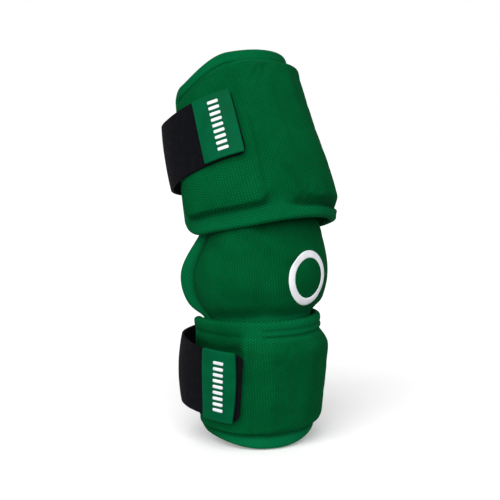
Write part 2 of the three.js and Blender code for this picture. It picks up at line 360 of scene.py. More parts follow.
def knitted_mesh():
    """Green warp-knit mesh, paler where pressed into a hem, partly as a painted highlight, with painted
    shade along creases, unevenly dyed.
    """
    dye, paler_dye, pressed_and_lit_dye = colour(0, 83, 42), colour(2, 93, 49), colour(6, 116, 69)
    # A painted shade colour for creases and grooves, and the colour of the knit's gaps.
    dirt_and_painted_shade, gap = colour(0, 40, 17), colour(0, 54, 25)
    most_painted_shade, lint_height = 0.55, 0.5
    dull, less_dull_loops = 0.97, 0.12
    material, wire, shader = finish("knitted_mesh", {"Specular IOR Level": 0.02})
    loops = knit_loops(wire)
    patches = cloud(wire, scale=38, detail=3).ramp(low=0.3, high=0.7)
    lint = cloud(wire, scale=1300, detail=2)
    dyed = patches.mix(dye, paler_dye)
    # Pressed hems are paler cloth, and partly a painted highlight where they catch the light.
    pressed_and_lit = mark(wire, "hem").mix(dyed, pressed_and_lit_dye)
    # Painted shade: the crease mark darkens the cloth towards the shade colour.
    dirty_and_shaded = (mark(wire, "crease") * most_painted_shade).mix(pressed_and_lit, dirt_and_painted_shade)
    loops.ramp(low=0.13, high=0.65).mix(gap, dirty_and_shaded).feed(shader["Base Color"])
    (dull - loops * less_dull_loops).feed(shader["Roughness"])
    height = loops + lint * lint_height
    bump = wire.node("ShaderNodeBump", {}, {"Strength": 0.4, "Distance": 0.0004, "Height": height})
    bump.feed(shader["Normal"])
    return material


def edge_slope(edge, angle):
    """How far round its slow slope a cuff's edge is, from 0 near its middle to 1 at its ends."""
    return soft_rise(np.abs(angle - edge["middle"]) - edge["from"], edge["to"] - edge["from"])


def edge_fall(edge, angle, side):
    """How far a cuff's edge has come in at an angle: a slow slope, then a round corner."""
    bend = np.clip(1 - side / edge["corner"], 0, 1)
    return edge["fall"] * edge_slope(edge, angle) + edge["corner"] * (1 - np.sqrt(1 - bend * bend))


def squeezed(strap, angle, along, lift, crease):
    """The wall's lift where a tight strap's upper edge sinks into the foam, and the crease mark with
    painted shade in that dent.
    """
    above = along - strap["top"]
    dent = np.exp(-((above / np.where(above > 0, strap["above"], strap["below"])) ** 2))
    dent = dent * soft_rise(strap["from"] - angle, strap["over"])
    sunk = np.maximum(lift - strap["depth"] * dent, np.minimum(lift, strap["least"]))
    # Painted shade in the dent, broad and then sharp towards the strap's edge.
    broad, sharp = strap["dirt_and_painted_shade"]
    return sunk, crease + broad * dent + sharp * dent ** 3


def make_cuff(name, cuff):
    """A cuff's swollen wall: rolled rim, puffed hem, creased groove, and panels between channels."""
    top, bottom = cuff["top"], cuff["bottom"]
    borders = (bottom, top, side_edge)
    middle = through(cuff["along"], cuff["radius"], cuff["height"] / 2)
    rim_from = wrap - math.degrees(rim_roll / middle)
    angle = stations(
        (-wrap, -rim_from, rim_steps),
        (-rim_from, fine_from, near_steps),
        (fine_from, fine_to, fine_steps),
        (fine_to, rim_from, far_steps),
        (rim_from, wrap, rim_steps),
    )[:, None]
    side = np.radians(wrap - np.abs(angle)) * middle
    low = edge_fall(bottom, angle, side)
    high = cuff["height"] - edge_fall(top, angle, side)
    low_edge, high_edge = (
        stations((0, rim_roll, rim_steps), (rim_roll, edge["hem"] + max(edge["shoulders"]), hem_steps))
        for edge in (bottom, top)
    )
    first, last = low + low_edge[-1], high - high_edge[-1]
    share = stations((0, 1, round(cuff["height"] / row_pitch)))[1:-1]
    along = np.hstack([low + low_edge, first + (last - first) * share, high - high_edge[::-1]])
    angle, side = np.broadcast_arrays(angle, side, along)[:2]
    below, above = along - low, high - along

    turned, turned_from, turned_over = cuff["channel_bend"]
    turn = turned * soft_rise(along - turned_from, turned_over)
    near = np.radians(angle - (cuff["channels"][0] - turn)) * middle
    far = np.radians(angle - cuff["channels"][1]) * middle
    front = soft_rise(near - front_from, front_over)
    slimmer = soft_rise(angle - slim_from, slim_over)
    hems = np.stack([
        bottom["hem"] - bottom["narrow"] * edge_slope(bottom, angle) - bottom["slim"] * slimmer,
        top["hem"] - top["narrow"] * edge_slope(top, angle) - top["slim"] * slimmer,
        np.full(angle.shape, side_edge["hem"]),
    ])
    inward = np.stack([below, above, side]) - hems
    nearest = (inward / hems).argmin(0)
    at_bottom, at_top = nearest == 0, nearest == 1
    across = 1 + (inward / hems).min(0)
    from_groove = np.choose(nearest, inward)

    pale, line, crease = (
        np.choose(nearest, [edge[key] for edge in borders]) for key in ("pale", "line", "crease")
    )
    fill, blend = [], []
    for edge in borders:
        fill_share, fill_at, fill_half = edge["fill"]
        near_blend, front_blend = edge["blend"]
        fill.append(fill_share * np.exp(-(((near - fill_at) / fill_half) ** 4)))
        blend.append(near_blend * (1 - front) + front_blend * front)
    filled = np.maximum(np.choose(nearest, fill), np.choose(nearest, blend))
    filled = filled * (1 - soft_rise(from_groove, fill_reach))
    line = line * np.exp(-(((across - line_at) / line_half) ** 2)) * (1 - filled)
    roll = np.maximum(soft_rise(-from_groove, hem_groove), filled) - line
    # Painted shade in the groove: the crease mark, stronger and reaching further up where the groove is
    # scooped in front.
    scoop = bottom["scoop"] * soft_rise(angle - scoop_from, scoop_over) * at_bottom
    reach = crease_half + scoop_reach * scoop * (from_groove > 0)
    crease = (crease + scoop_painted_shade * scoop) * np.exp(-((from_groove / reach) ** 2)) * (1 - filled)

    low_shoulder, high_shoulder = (
        edge["shoulders"][0] * (1 - front) + edge["shoulders"][1] * front for edge in (bottom, top)
    )
    low_shoulder = low_shoulder * (1 + filled_shoulder * fill[0])
    rises = np.minimum(inward[0] / low_shoulder, inward[1] / high_shoulder)
    rises = rounded_min(rises, inward[2] / side_edge["shoulder"], panel_corner)
    outer_slope, front_slope = cuff["channel_slopes"]
    channel = np.maximum(np.maximum(-near, far) / outer_slope, np.minimum(near, -far) / front_slope)
    parted = rounded_min(rises, channel, channel_corner)
    depth = through(cuff["along"], cuff["channel_share"], along)
    whole = bevel_rise(rises)
    panel = (panel_lift - groove_lift) * (whole + (bevel_rise(parted) - whole) * depth)
    flat_at, flat_half = cuff["flat"]
    off_flat = np.radians(np.clip(angle - flat_at, -flat_half, flat_half))
    chord = math.cos(math.radians(flat_half)) / np.cos(off_flat)
    panel = panel - (middle + panel_lift) * (1 - chord) * whole
    bridge = cuff["bridge"] * soft_rise(angle - bridge_from, bridge_over)
    bridge = bridge * np.exp(-((inward[0] / bridge_half) ** 2))
    creased = crease_depth * crease * (1 + scoop)
    lift = groove_lift + (hem_lift - groove_lift) * roll + panel + bridge - creased
    if "squeeze" in cuff:
        lift, crease = squeezed(cuff["squeeze"], angle, along, lift, crease)

    rim = round_rise(np.minimum(np.minimum(below, above), side), rim_roll)
    rim_top = rim_middle + rim_wall
    tuck = cuff["tuck"] * np.exp(-(((angle - tuck_at) / tuck_half) ** 2))
    tuck = tuck * (1 - soft_rise(below, tuck_reach))
    outer = on_form(cuff, angle, along, rim_top + (lift - rim_top) * rim - tuck)
    inner = on_form(cuff, angle, along, rim_middle * (1 - rim) - tuck)
    cloth = np.stack([np.radians(angle) * middle, along], -1)
    pale = pale * (1 - soft_rise(rises, pale_reach))
    # Where an edge sets pale_to, its hem's paleness gives way to painted shade towards the ends.
    for edge, beside in ((bottom, at_bottom), (top, at_top)):
        end_shade = soft_rise(np.abs(angle) - edge["pale_to"] + pale_fade, pale_fade)
        pale = np.where(beside, pale * (1 - end_shade), pale)
    piece = wall(name, outer, inner, cloth, {"hem": pale, "crease": crease + line})
    puff(piece, 1 - soft_rise(parted, 1), cuff_slack)
    smooth(piece)
    return piece


green_mesh = knitted_mesh()
upper_pad = make_cuff("upper_arm_cuff", upper_cuff)
upper_pad.data.materials.append(green_mesh)
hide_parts("upper_pad")
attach(upper_pad, "root")


# Elbow cup: a foam dome in the same mesh over the elbow's point. Its cloth is pressed flat all round,
# sewn inside the two cuffs above and below, and flared outwards at its two free sides.
cup = {
    "lean": 5,
    "base": (0, 0.003, -0.007),
    "along": (-0.04, -0.034, -0.028, -0.02, -0.008, 0.005, 0.024, 0.04, 0.052),
    "radius": (0.0356, 0.0358, 0.0363, 0.0396, 0.0432, 0.0439, 0.0411, 0.0386, 0.0375),
    "wrap": (75, 97, 107, 114, 115, 112, 97, 84, 74),
    "end_hem": 0.01,
    "side_hem": 0.0125,
    "hem_lift": 0.004,
    "hem_corner": 0.009,
    "hem_pale": 0.62,
    "pale_reach": 0.004,
    "dome": 0.0051,
    "end_shoulder": 0.011,
    "side_shoulder": 0.026,
    "dome_corner": 0.5,
    "flare": 0.0066,
    "flare_at": -0.008,
    "flare_below": (0.0205, 4),  # its reach down, and how bluntly it ends
    "flare_above": (0.036, 2),
    "crease_depth": 0.0011,
    "crease_half": 0.0026,
    "crease_ends": (-0.004, 0.008),  # where it fades in from an end hem, and over what stretch
    "shade": (0.0085, -0.001, 0.002),  # painted shade inside the crease: its reach, and where and how it starts
    "shade_share": (0.5, 0.3, -0.005, 0.02),  # how much, how much more low down, from where, over what
    "channel": (-27, 0.008, 0.0038),  # angle, half width and depth of a shallow valley
    "swell": (-56, 26, 0.0034, 0.008, 0.028),  # angle, half width and height, from where up, over what
    "fold": ((-36, 0.032), (-8, 0.013), 0.006, 0.003),  # two ends, half width and height
    "dome_part": 0.55,
    "columns": (30, 46),  # at each side, and over the dome
    "rows": (14, 30),  # at each end, and over the dome
    "held_reach": 0.008,
    "slack": 0.008,
}


def shoulder_rise(distance):
    return np.sin(np.pi / 2 * np.clip(distance, 0, 1))


def make_cup(name):
    """The cup's swollen wall: a hem, flared at its free sides, round a dome with a valley and a fold."""
    first, last = cup["along"][0], cup["along"][-1]
    middle = through(cup["along"], cup["radius"], 0)
    part = cup["dome_part"]
    side_columns, dome_columns = cup["columns"]
    share = stations((-1, -part, side_columns), (-part, part, dome_columns), (part, 1, side_columns))
    share = share[:, None]
    ends_at = cup["end_hem"] + cup["end_shoulder"]
    low_end, high_end = first + ends_at, last - ends_at
    end_rows, dome_rows = cup["rows"]
    along = stations((first, low_end, end_rows), (low_end, high_end, dome_rows), (high_end, last, end_rows))
    reach = through(cup["along"], cup["wrap"], along)
    angle = share * reach
    along = np.broadcast_to(along, angle.shape)
    side = np.radians(reach * (1 - np.abs(share))) * middle
    ends = np.minimum(along - first, last - along)

    from_flare = along - cup["flare_at"]
    flare_reach, flare_power = (
        np.where(from_flare < 0, below, above)
        for below, above in zip(cup["flare_below"], cup["flare_above"])
    )
    bell = np.maximum(1 - np.abs(from_flare / flare_reach) ** flare_power, 0)
    flare = cup["flare"] * bell * (1 - soft_rise(side, cup["side_hem"]))
    rim = round_rise(np.minimum(ends, side), rim_roll)
    from_hem, from_end = side - cup["side_hem"], ends - cup["end_hem"]
    inside = rounded_min(from_hem, from_end, cup["hem_corner"])
    crease_from, crease_over = cup["crease_ends"]
    crease = np.exp(-((from_hem / cup["crease_half"]) ** 2))
    crease = crease * soft_rise(from_end - crease_from, crease_over)
    dome = rounded_min(from_hem / cup["side_shoulder"], from_end / cup["end_shoulder"], cup["dome_corner"])
    channel_at, channel_half, channel_deep = cup["channel"]
    channel = channel_deep * np.exp(-((np.radians(angle - channel_at) * middle / channel_half) ** 2))
    swell_at, swell_half, swell_high, swell_from, swell_over = cup["swell"]
    swell = swell_high * np.exp(-(((angle - swell_at) / swell_half) ** 2))
    swell = swell * soft_rise(along - swell_from, swell_over)
    (from_angle, from_along), (to_angle, to_along), fold_half, fold_high = cup["fold"]
    run = np.array([math.radians(to_angle - from_angle) * middle, to_along - from_along])
    offset = np.stack([np.radians(angle - from_angle) * middle, along - from_along], -1)
    on_fold = np.clip(offset @ run / (run @ run), 0, 1)[..., None] * run
    fold = fold_high * np.exp(-((np.linalg.norm(offset - on_fold, axis=-1) / fold_half) ** 2))
    # Painted shade beside the crease on the dome's side, stronger low down.
    shade_half, shade_from, shade_over = cup["shade"]
    shade = np.exp(-((from_hem / shade_half) ** 2)) * soft_rise(from_hem - shade_from, shade_over)
    shade_least, shade_more, low_from, low_over = cup["shade_share"]
    shade = shade * (shade_least + shade_more * soft_rise(low_from - along, low_over))

    raised = (cup["dome"] - channel + fold) * shoulder_rise(dome)
    lift = cup["hem_lift"] + raised + swell - cup["crease_depth"] * crease
    outer = on_form(cup, angle, along, flare + rim_wall + (lift - rim_wall) * rim)
    inner = on_form(cup, angle, along, flare)
    cloth = np.stack([np.radians(angle) * middle, along], -1)
    # The hem's paleness is pressed cloth, and partly a painted highlight on the flared sides.
    pale = cup["hem_pale"] * (1 - soft_rise(inside, cup["pale_reach"]))
    piece = wall(name, outer, inner, cloth, {"hem": pale, "crease": crease + shade})
    puff(piece, 1 - soft_rise(inside, cup["held_reach"]), cup["slack"])
    smooth(piece)
    return piece


elbow_cup = make_cup("elbow_cup_pad")
elbow_cup.data.materials.append(green_mesh)
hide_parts("elbow_cup")
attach(elbow_cup, "root")


# Printed ring: a plain white ring of soft film, heat-pressed on the cup's face so that its edge sinks
# into the cloth and the knit shows through it faintly.
ring_at = (12, -0.004)
ring_radius = 0.0165
ring_half = 0.0027
ring_step = 3
film_top, film_eased, film_sunk = 0.0003, 0.00022, -0.0003
ring_profile = (
    (-1, film_sunk), (-0.9, film_eased), (-0.5, film_top), (0, film_top),
    (0.5, film_top), (0.9, film_eased), (1, film_sunk),
)
cast_from = 0.03  # well outside the cup's face


def pressed_film():
    """White transfer film, a little soiled, with the knit under it."""
    clean, dirty_and_shaded = colour(242, 244, 248), colour(230, 233, 238)
    dull, more_dull_soil = 0.55, 0.2
    material, wire, shader = finish("pressed_film", {"Specular IOR Level": 0.2})
    loops = knit_loops(wire)
    dirt_and_painted_shade = cloud(wire, scale=160, detail=4).ramp(low=0.35, high=0.75)
    dirt_and_painted_shade.mix(clean, dirty_and_shaded).feed(shader["Base Color"])
    (dull + dirt_and_painted_shade * more_dull_soil).feed(shader["Roughness"])
    bump = wire.node("ShaderNodeBump", {}, {"Strength": 0.3, "Distance": 0.0002, "Height": loops})
    bump.feed(shader["Normal"])
    return material


def make_ring(name, base):
    """A closed band of film round a circle on the base's outer face."""
    surface = BVHTree.FromObject(base, bpy.context.evaluated_depsgraph_get())
    middle = through(cup["along"], cup["radius"], 0) + cup["dome"] + cup["hem_lift"]
    steps = np.radians(np.arange(0, 360, ring_step))
    points, places = [], []
    for step in steps:
        for across, height in ring_profile:
            reach = ring_radius + ring_half * across
            angle = ring_at[0] + math.degrees(reach * math.cos(step) / middle)
            along = ring_at[1] + reach * math.sin(step)
            far, near = on_form(cup, angle, along, cast_from), on_form(cup, angle, along, 0)
            spot, normal, _, _ = surface.ray_cast(Vector(far), Vector(near - far))
            points.append(spot + normal * height)
            places.append((math.radians(angle) * middle, along))
    here = np.arange(len(points)).reshape(len(steps), len(ring_profile))
    ahead, beside = np.roll(here, -1, 0), np.roll(here, -1, 1)
    faces = np.stack([here, ahead, np.roll(ahead, -1, 1), beside], -1).reshape(-1, 4)
    piece = new_piece(name, points, [], faces)
    shape = bmesh.new()
    shape.from_mesh(piece.data)
    bmesh.ops.recalc_face_normals(shape, faces=shape.faces)
    shape.to_mesh(piece.data)
    shape.free()
    lay_cloth(piece.data, np.array(places), {})
    return piece


white_film = pressed_film()
printed_ring = make_ring("printed_ring", elbow_cup)
printed_ring.data.materials.append(white_film)
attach(printed_ring, "root")


# Forearm cuff: moulded and hemmed as the upper one is, and shorter, straight down the forearm.
# Its top hem goes round the outside of the cup's lower edge, where the two are sewn together.
forearm_cuff = {
    "lean": 0,
    "base": (0, 0, -0.1264),
    "height": 0.091,
    "channels": (-37.5, 68),
    "channel_bend": (0, 0.066, 0.03),
    "channel_slopes": (0.005, 0.0145),
    "channel_share": (0.3, 0.35, 0.38, 0.38),
    "flat": (-4, 17),
    "tuck": 0,
    "bridge": 0,
    "top": {
        "hem": 0.0115, "narrow": 0, "slim": 0,
        "pale": 0.5, "pale_to": 68, "line": 0.5, "crease": 0.25,
        "fill": (1, 0.001, 0.0055), "blend": (1, 0), "scoop": 0, "shoulders": (0.0055, 0.0075),
        "fall": 0.001, "middle": 0, "from": 38, "to": 100, "corner": 0.004,
    },
    "bottom": {
        "hem": 0.0095, "narrow": 0.0048, "slim": 0,
        "pale": 0.9, "pale_to": 95, "line": 0, "crease": 0.6,
        "fill": (0, 0, 1), "blend": (0, 0), "scoop": 0, "shoulders": (0.0025, 0.0035),
        "fall": 0.009, "middle": -20, "from": 6, "to": 94, "corner": 0.016,
    },
    "along": (0, 0.02, 0.065, 0.091),
    "radius": (0.0365, 0.0375, 0.0418, 0.041),
    "squeeze": {  # where its strap's upper edge sinks in, how thin the foam gets there, and the painted shade in the dent
        "top": 0.0722, "above": 0.0075, "below": 0.012, "from": -43, "over": 9,
        "depth": 0.0075, "least": 0.003, "dirt_and_painted_shade": (0.2, 1.4),
    },
}
forearm_pad = make_cuff("forearm_cuff", forearm_cuff)
forearm_pad.data.materials.append(green_mesh)
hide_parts("forearm_pad")
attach(forearm_pad, "root")


# Elastic straps: near-black woven bands with fine ribs along them. Each is sewn inside a cuff's far edge,
# goes round the back of the arm and over the near edge, and ends under its tab on the cuff's face.
upper_strap = {
    "along": 0.0656,
    "width": 0.0475,
    # By turn, from its free end round the back to its sewn end: "crown" is how far its edges pull in, and
    # "slack" is 1 where it stands as a plain cylinder and 0 where it lies along the cuff's taper.
    "turn": (36, 52, 70, 96, 125, 150, 180, 222, 246, 258, 275),
    "lift": (0.0122, 0.012, 0.012, 0.0129, 0.0122, 0.0088, 0.005, 0.002, -0.0028, -0.003, -0.003),
    "rise": (0.0053, 0.0042, 0.0024, 0.0006, 0.001, 0.0014, 0.001, 0.001, 0.001, 0.001, 0.001),
    "crown": (0, 0, 0, 0.0008, 0.0012, 0.0014, 0.002, 0.001, 0, 0, 0),
    "slack": (0, 0, 0.1, 0.35, 1, 1, 1, 0.5, 0, 0, 0),
}
forearm_strap = {
    "along": 0.0506,
    "width": 0.0485,
    "turn": (46, 64, 80, 100, 125, 150, 180, 222, 246, 258, 275),
    "lift": (0.0126, 0.0122, 0.012, 0.0132, 0.0138, 0.011, 0.007, 0.002, -0.0028, -0.003, -0.003),
    "rise": (-0.0044, -0.0031, -0.0019, -0.0004, 0.0008, 0.0014, 0.0024, 0.001, 0, 0, 0),
    "crown": (0, 0, 0, 0.0012, 0.0024, 0.0024, 0.002, 0.001, 0, 0, 0),
    "slack": (0, 0, 0.1, 0.7, 1, 1, 1, 0.5, 0, 0, 0),
}
strap_thickness = 0.0018
strap_corner = 0.0055
corner_start = 0.2  # share of a corner's length with the closest points
start_steps, corner_steps, strap_steps = 5, 6, 126
band_points = 180
slope_step = 1
ahead_turn, band_rung = 0.5, 0.005  # from a point on the band to its neighbours along and across
rib_pitch = 0.0016
rib_depth = 0.0001


def strap_spot(cuff, strap, turn, across, extra):
    """Points of a strap at a turn from the front and a place across it, lifted by an extra amount."""
    level = through(cuff["along"], cuff["radius"], strap["along"])
    edge = 2 * across / strap["width"]
    crown = through(strap["turn"], strap["crown"], turn)
    lift = through(strap["turn"], strap["lift"], turn) - crown * edge * edge + extra
    before, rise, after = (
        through(strap["turn"], strap["rise"], turn + step) for step in (-slope_step, 0, slope_step)
    )
    slope = (before - after) / (math.radians(2 * slope_step) * (level + lift))
    square = across / np.hypot(1, slope)
    along = strap["along"] + rise + square
    angle = -turn - np.degrees(square * slope / (level + lift))
    taper = level - through(cuff["along"], cuff["radius"], along)
    return on_form(cuff, angle, along, lift + through(strap["turn"], strap["slack"], turn) * taper)


def path_of(name, points, out, extras):
    """A line of points as an object, each with its own place and the way out of the surface under it."""
    path = new_piece(name, points, [(k, k + 1) for k in range(len(points) - 1)], [])
    for label, vectors in (("out", out), ("spine", points)):
        kept = path.data.attributes.new(label, "FLOAT_VECTOR", "POINT")
        kept.data.foreach_set("vector", np.ravel(vectors))
    for label, values in extras.items():
        path.data.attributes.new(label, "FLOAT", "POINT").data.foreach_set("value", values)
    return path


class Tree:
    """A geometry tree, built a node at a time from named inputs."""

    def __init__(self, name, inputs):
        self.group = bpy.data.node_groups.new(name, "GeometryNodeTree")
        self.group.interface.new_socket("Geometry", in_out="INPUT", socket_type="NodeSocketGeometry")
        self.group.interface.new_socket("Geometry", in_out="OUTPUT", socket_type="NodeSocketGeometry")
        for label, kind in inputs.items():
            self.group.interface.new_socket(label, in_out="INPUT", socket_type="NodeSocket" + kind)
        self.inputs = self.group.nodes.new("NodeGroupInput").outputs

    def node(self, kind, settings, sockets):
        made = self.group.nodes.new(kind)
        for name, value in settings.items():
            setattr(made, name, value)
        for name, value in sockets.items():
            if isinstance(value, bpy.types.NodeSocket):
                self.group.links.new(value, made.inputs[name])
            else:
                made.inputs[name].default_value = value
        return made.outputs

    def math(self, operation, *values):
        return self.node("ShaderNodeMath", {"operation": operation}, dict(enumerate(values)))[0]

    def named(self, label, kind="FLOAT"):
        return self.node("GeometryNodeInputNamedAttribute", {"data_type": kind}, {"Name": label})[0]

    def store(self, geometry, label, value):
        sockets = {"Geometry": geometry, "Name": label, "Value": value}
        return self.node("GeometryNodeStoreNamedAttribute", {"domain": "POINT"}, sockets)[0]

    def path(self):
        """The input's line as a curve whose normals face out."""
        curve = self.node("GeometryNodeMeshToCurve", {}, {"Mesh": self.inputs["Geometry"]})[0]
        sockets = {"Curve": curve, "Normal": self.named("out", "FLOAT_VECTOR")}
        return self.node("GeometryNodeSetCurveNormal", {"mode": "FREE"}, sockets)[0]

    def end(self, geometry):
        real = self.node("GeometryNodeRealizeInstances", {}, {"Geometry": geometry})
        sockets = {"Geometry": real[0], "Material": self.inputs["Material"]}
        dressed = self.node("GeometryNodeSetMaterial", {}, sockets)
        self.node("NodeGroupOutput", {}, {0: dressed[0]})
        return self.group


def grow(piece, group, values):
    """Runs a tree on a piece with these inputs, and keeps what it makes as the piece's plain mesh."""
    modifier = piece.modifiers.new("grow", "NODES")
    modifier.node_group = group
    for item in group.interface.items_tree:
        if item.name in values:
            modifier[item.identifier] = values[item.name]
    made = bpy.data.meshes.new_from_object(piece.evaluated_get(bpy.context.evaluated_depsgraph_get()))
    piece.modifiers.remove(modifier)
    old, piece.data = piece.data, made
    bpy.data.meshes.remove(old)
    made.name = piece.name
    made.shade_smooth()
    return piece


def band_tree():
    """A band swept along a path: a ribbed section, trimmed towards the path, whose edges pull in."""
    tree = Tree("ribbed_band", {
        "Width": "Float", "Thickness": "Float", "Rib Pitch": "Float", "Rib Depth": "Float",
        "Material": "Material",
    })
    inputs = tree.inputs
    length = tree.node("GeometryNodeSplineParameter", {}, {})["Length"]
    path = tree.store(tree.path(), "run", length)
    sides = {"Width": inputs["Thickness"], "Height": inputs["Width"]}
    section = tree.node("GeometryNodeCurvePrimitiveQuadrilateral", {"mode": "RECTANGLE"}, sides)[0]
    section = tree.node("GeometryNodeResampleCurve", {}, {"Curve": section, "Count": band_points})[0]
    place = tree.node("GeometryNodeInputPosition", {}, {})[0]
    axes = tree.node("ShaderNodeSeparateXYZ", {}, {0: place})
    phase = tree.math("DIVIDE", tree.math("MULTIPLY", axes["Y"], 2 * math.pi), inputs["Rib Pitch"])
    rib = tree.math("MULTIPLY", tree.math("COSINE", phase), inputs["Rib Depth"])
    outwards = tree.math("MULTIPLY", rib, tree.math("SIGN", axes["X"]))
    ribbed = tree.node("ShaderNodeCombineXYZ", {}, {"X": outwards})[0]
    section = tree.store(section, "across", axes["Y"])
    section = tree.node("GeometryNodeSetPosition", {}, {"Geometry": section, "Offset": ribbed})[0]
    sweep = {"Curve": path, "Profile Curve": section, "Fill Caps": True}
    band = tree.node("GeometryNodeCurveToMesh", {}, sweep)[0]
    across = tree.named("across")
    edge = tree.math("DIVIDE", tree.math("MULTIPLY", across, 2), inputs["Width"])
    crown = tree.math("MULTIPLY", tree.named("crown"), -1)
    pull = tree.math("MULTIPLY", tree.math("MULTIPLY", edge, edge), crown)
    out = tree.named("out", "FLOAT_VECTOR")
    inwards = tree.node("ShaderNodeVectorMath", {"operation": "SCALE"}, {"Vector": out, "Scale": pull})[0]
    spine = tree.named("spine", "FLOAT_VECTOR")
    to_path = tree.node("ShaderNodeVectorMath", {"operation": "SUBTRACT"}, {0: spine, 1: place})[0]
    by_trim = {"Vector": to_path, "Scale": tree.named("trim")}
    trimmed = tree.node("ShaderNodeVectorMath", {"operation": "SCALE"}, by_trim)[0]
    for offset in (trimmed, inwards):
        band = tree.node("GeometryNodeSetPosition", {}, {"Geometry": band, "Offset": offset})[0]
    cloth = tree.node("ShaderNodeCombineXYZ", {}, {"X": tree.named("run"), "Y": across})[0]
    layer = {"data_type": "FLOAT2", "domain": "CORNER"}
    kept = {"Geometry": band, "Name": "cloth", "Value": cloth}
    return tree.end(tree.node("GeometryNodeStoreNamedAttribute", layer, kept)[0])


def woven_elastic():
    """Near-black woven elastic: ribs along it, crossed by fine picks, dull and a little dusty."""
    yarn, dusty_yarn, gap = colour(12, 13, 17), colour(20, 21, 27), colour(8, 8, 11)
    pick_pitch, pick_drift = 0.0009, 0.0002
    pick_height, rib_height, mean = 0.22, 0.28, 0.5
    dull, less_dull_yarn = 0.92, 0.14
    material, wire, shader = finish("woven_elastic", {"Specular IOR Level": 0.05})
    place = wire.node("ShaderNodeUVMap", {"uv_map": "cloth"}, {})
    run = wire.node("ShaderNodeSeparateXYZ", {}, {"Vector": place})
    across = run.other("Y")
    picks = (run + across.wave(rib_pitch * 2) * pick_drift).wave(pick_pitch)
    weave = picks * pick_height + across.wave(rib_pitch) * rib_height + mean
    dust = cloud(wire, scale=260, detail=4).ramp(low=0.3, high=0.75)
    weave.mix(gap, dust.mix(yarn, dusty_yarn)).feed(shader["Base Color"])
    (dull - weave * less_dull_yarn).feed(shader["Roughness"])
    bump = wire.node("ShaderNodeBump", {}, {"Strength": 0.4, "Distance": 0.00025, "Height": weave})
    bump.feed(shader["Normal"])
    return material


def out_of(line, ahead, rung):
    """The ways out of a surface at a line's points, from their neighbours along and across it."""
    out = np.cross(rung - line, ahead - line)
    return out / np.linalg.norm(out, axis=-1, keepdims=True)


def make_strap(name, cuff, strap):
    """A strap's band along its route, with the corners of its free end rounded."""
    first, last = strap["turn"][0], strap["turn"][-1]
    radius = through(cuff["along"], cuff["radius"], strap["along"]) + strap["lift"][0]
    corner = math.degrees(strap_corner / radius)
    start, rounded = first + corner * corner_start, first + corner
    turn = stations(
        (first, start, start_steps), (start, rounded, corner_steps), (rounded, last, strap_steps)
    )
    bend = np.clip(1 - (turn - first) / corner, 0, 1)
    trim = strap_corner * (1 - np.sqrt(1 - bend * bend)) / (strap["width"] / 2)
    lift = strap_thickness / 2
    line = strap_spot(cuff, strap, turn, 0, lift)
    ahead = strap_spot(cuff, strap, turn + ahead_turn, 0, lift)
    rung = strap_spot(cuff, strap, turn, band_rung, lift)
    crown = through(strap["turn"], strap["crown"], turn)
    path = path_of(name, line, out_of(line, ahead, rung), {"crown": crown, "trim": trim})
    return grow(path, ribbed_band, {
        "Width": strap["width"], "Thickness": strap_thickness - 2 * rib_depth,
        "Rib Pitch": rib_pitch, "Rib Depth": rib_depth, "Material": black_elastic,
    })


ribbed_band = band_tree()
black_elastic = woven_elastic()
for name, cuff, strap, node in (
    ("upper_elastic", upper_cuff, upper_strap, "upper_strap"),
    ("forearm_elastic", forearm_cuff, forearm_strap, "forearm_strap"),
):
    band = make_strap(name, cuff, strap)
    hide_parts(node)
    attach(band, "root")


# Strap stitching: a box of black thread through each strap's sewn end and the cuff behind it.
# It shows on the strap's inner face, against the arm.
box_turns = (250, 271)
box_half = 0.0195
box_steps = 20
stitch_pitch = 0.0031
stitch_size = (0.0005, 0.0006, 0.0024)
stitch_lift = -0.0001
row_rung = 0.002


def row_tree():
    """Rounded blocks set out along a path, each upright on the surface under it."""
    tree = Tree("row_of_blocks", {
        "Pitch": "Float", "Size": "Vector", "Crease": "Float", "Material": "Material",
    })
    spacing = {"Curve": tree.path(), "Length": tree.inputs["Pitch"]}
    spots = tree.node("GeometryNodeCurveToPoints", {"mode": "LENGTH"}, spacing)
    block = tree.node("GeometryNodeMeshCube", {}, {"Size": tree.inputs["Size"]})[0]
    rounding = {"Mesh": block, "Level": 2, "Edge Crease": tree.inputs["Crease"]}
    block = tree.node("GeometryNodeSubdivisionSurface", {}, rounding)[0]
    placing = {"Points": spots["Points"], "Instance": block, "Rotation": spots["Rotation"]}
    return tree.end(tree.node("GeometryNodeInstanceOnPoints", {}, placing)[0])


def make_box_stitch(name, cuff, strap):
    """A row of stitches round the four sides of a box, from corner to corner."""
    (start, stop), half = box_turns, box_half
    corners = ((start, -half), (stop, -half), (stop, half), (start, half), (start, -half))
    turn, across = (
        stations(*((a[axis], b[axis], box_steps) for a, b in zip(corners, corners[1:]))) for axis in (0, 1)
    )
    line = strap_spot(cuff, strap, turn, across, stitch_lift)
    ahead = strap_spot(cuff, strap, turn + ahead_turn, across, stitch_lift)
    rung = strap_spot(cuff, strap, turn, across + row_rung, stitch_lift)
    return grow(path_of(name, line, -out_of(line, ahead, rung), {}), row_of_blocks, {
        "Pitch": stitch_pitch, "Size": stitch_size, "Crease": 0.1, "Material": black_elastic,
    })


row_of_blocks = row_tree()
for name, cuff, strap in (
    ("upper_box_stitch", upper_cuff, upper_strap),
    ("forearm_box_stitch", forearm_cuff, forearm_strap),
):
    thread = make_box_stitch(name, cuff, strap)
    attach(thread, "root")


